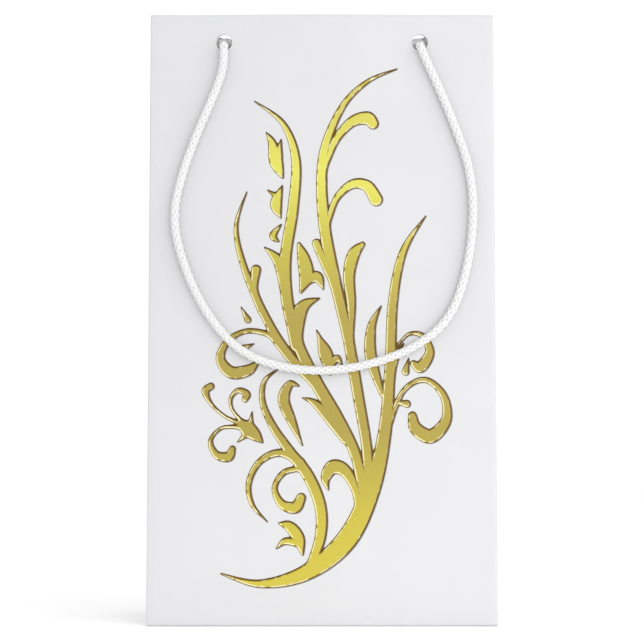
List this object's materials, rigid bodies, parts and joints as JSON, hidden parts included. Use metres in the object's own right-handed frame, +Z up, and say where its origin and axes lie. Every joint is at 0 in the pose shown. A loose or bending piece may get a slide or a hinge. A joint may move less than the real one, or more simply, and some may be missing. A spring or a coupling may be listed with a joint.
{
  "type": "gift bag",
  "caption": "Small upright paper gift bag with pleated sides, hanging rope handles and a gold scroll on the front; it folds flat.",
  "frame": {"origin": "middle of the underside, on the surface the bag stands on", "axes": "+Z up, the front with the gold scroll faces -Y, +X to the right seen from the front"},
  "size_m": [0.115, 0.077, 0.203],
  "materials": {
    "paper": "satin",
    "card": "matte",
    "cord": "matte",
    "gold": "gloss"
  },
  "bodies": {
    "back": {"back_panel": "paper", "back_hem": "paper", "back_top_card": "card", "back_left_knot": "cord", "back_right_knot": "cord"},
    "left_rear": {"left_gusset_rear": "paper", "left_gusset_hem_rear": "paper"},
    "left_front": {"left_gusset_front": "paper", "left_gusset_hem_front": "paper"},
    "right_rear": {"right_gusset_rear": "paper", "right_gusset_hem_rear": "paper", "seam_flap": "paper"},
    "right_front": {"right_gusset_front": "paper", "right_gusset_hem_front": "paper"},
    "front": {"front_panel": "paper", "front_hem": "paper", "front_top_card": "card", "front_left_knot": "cord", "front_right_knot": "cord"},
    "back_lower": {"back_lower_panel": "paper"},
    "bottom": {"front_bottom_flap": "paper", "back_bottom_flap": "paper", "left_bottom_flap": "paper", "right_bottom_flap": "paper", "base_card": "card"},
    "left_foot": {"left_gusset_foot": "paper"},
    "right_foot": {"right_gusset_foot": "paper"},
    "left_tuck": {"left_gusset_tuck": "paper"},
    "right_tuck": {"right_gusset_tuck": "paper"},
    "front_handle": {"front_handle_cord": "cord"},
    "back_handle": {"back_handle_cord": "cord"}
  },
  "joints": [
    {"name": "fold_flat", "type": "hinge", "parent": "back", "child": "left_rear", "pos_m": [-0.0569, 0.0344, 0], "axis": [0, 0, 1], "range_deg": [0, 85], "deforming": ["back_lower_panel", "left_gusset_foot", "right_gusset_foot", "left_gusset_tuck", "right_gusset_tuck", "back_left_knot", "back_right_knot", "front_left_knot", "front_right_knot"]},
    {"name": "left_pleat", "type": "hinge", "parent": "left_rear", "child": "left_front", "pos_m": [-0.05765, 0, 0], "axis": [0, 0, 1], "range_deg": [-170, 0]},
    {"name": "left_front_corner", "type": "hinge", "parent": "left_front", "child": "front", "pos_m": [-0.0569, -0.0344, 0], "axis": [0, 0, 1], "range_deg": [0, 85]},
    {"name": "right_rear_corner", "type": "hinge", "parent": "back", "child": "right_rear", "pos_m": [0.0569, 0.0344, 0], "axis": [0, 0, 1], "range_deg": [-85, 0]},
    {"name": "right_pleat", "type": "hinge", "parent": "right_rear", "child": "right_front", "pos_m": [0.05765, 0, 0], "axis": [0, 0, 1], "range_deg": [0, 170]},
    {"name": "back_crease", "type": "hinge", "parent": "back", "child": "back_lower", "pos_m": [0, 0.03515, 0.035], "axis": [1, 0, 0], "range_deg": [0, 170]},
    {"name": "bottom_fold", "type": "hinge", "parent": "back", "child": "bottom", "pos_m": [0, 0.0015, 0.0365], "axis": [1, 0, 0], "range_deg": [0, 85]},
    {"name": "left_foot_crease", "type": "hinge", "parent": "bottom", "child": "left_foot", "pos_m": [-0.0569, 0, 0.0016], "axis": [0, 1, 0], "range_deg": [0, 85]},
    {"name": "right_foot_crease", "type": "hinge", "parent": "bottom", "child": "right_foot", "pos_m": [0.0569, 0, 0.0016], "axis": [0, 1, 0], "range_deg": [-85, 0]},
    {"name": "left_tuck_crease", "type": "hinge", "parent": "left_foot", "child": "left_tuck", "pos_m": [-0.05765, 0.035, 0], "axis": [0, -0.7071, 0.7071], "range_deg": [0, 170]},
    {"name": "right_tuck_crease", "type": "hinge", "parent": "right_foot", "child": "right_tuck", "pos_m": [0.05765, 0.035, 0], "axis": [0, -0.7071, 0.7071], "range_deg": [-170, 0]},
    {"name": "front_handle_swing", "type": "hinge", "parent": "front", "child": "front_handle", "pos_m": [0, -0.037, 0.1935], "axis": [-1, 0, 0], "range_deg": [0, 175]},
    {"name": "back_handle_swing", "type": "hinge", "parent": "back", "child": "back_handle", "pos_m": [0, 0.037, 0.1935], "axis": [1, 0, 0], "range_deg": [0, 175]}
  ],
  "couplings": [
    {"joint": "left_pleat", "follows": "fold_flat", "ratio": -2},
    {"joint": "left_front_corner", "follows": "fold_flat", "ratio": 1},
    {"joint": "right_rear_corner", "follows": "fold_flat", "ratio": -1},
    {"joint": "right_pleat", "follows": "fold_flat", "ratio": 2},
    {"joint": "back_crease", "follows": "fold_flat", "ratio": 2},
    {"joint": "bottom_fold", "follows": "fold_flat", "ratio": 1},
    {"joint": "left_foot_crease", "follows": "fold_flat", "ratio": 1},
    {"joint": "right_foot_crease", "follows": "fold_flat", "ratio": -1},
    {"joint": "left_tuck_crease", "follows": "fold_flat", "ratio": 2},
    {"joint": "right_tuck_crease", "follows": "fold_flat", "ratio": -2}
  ]
}
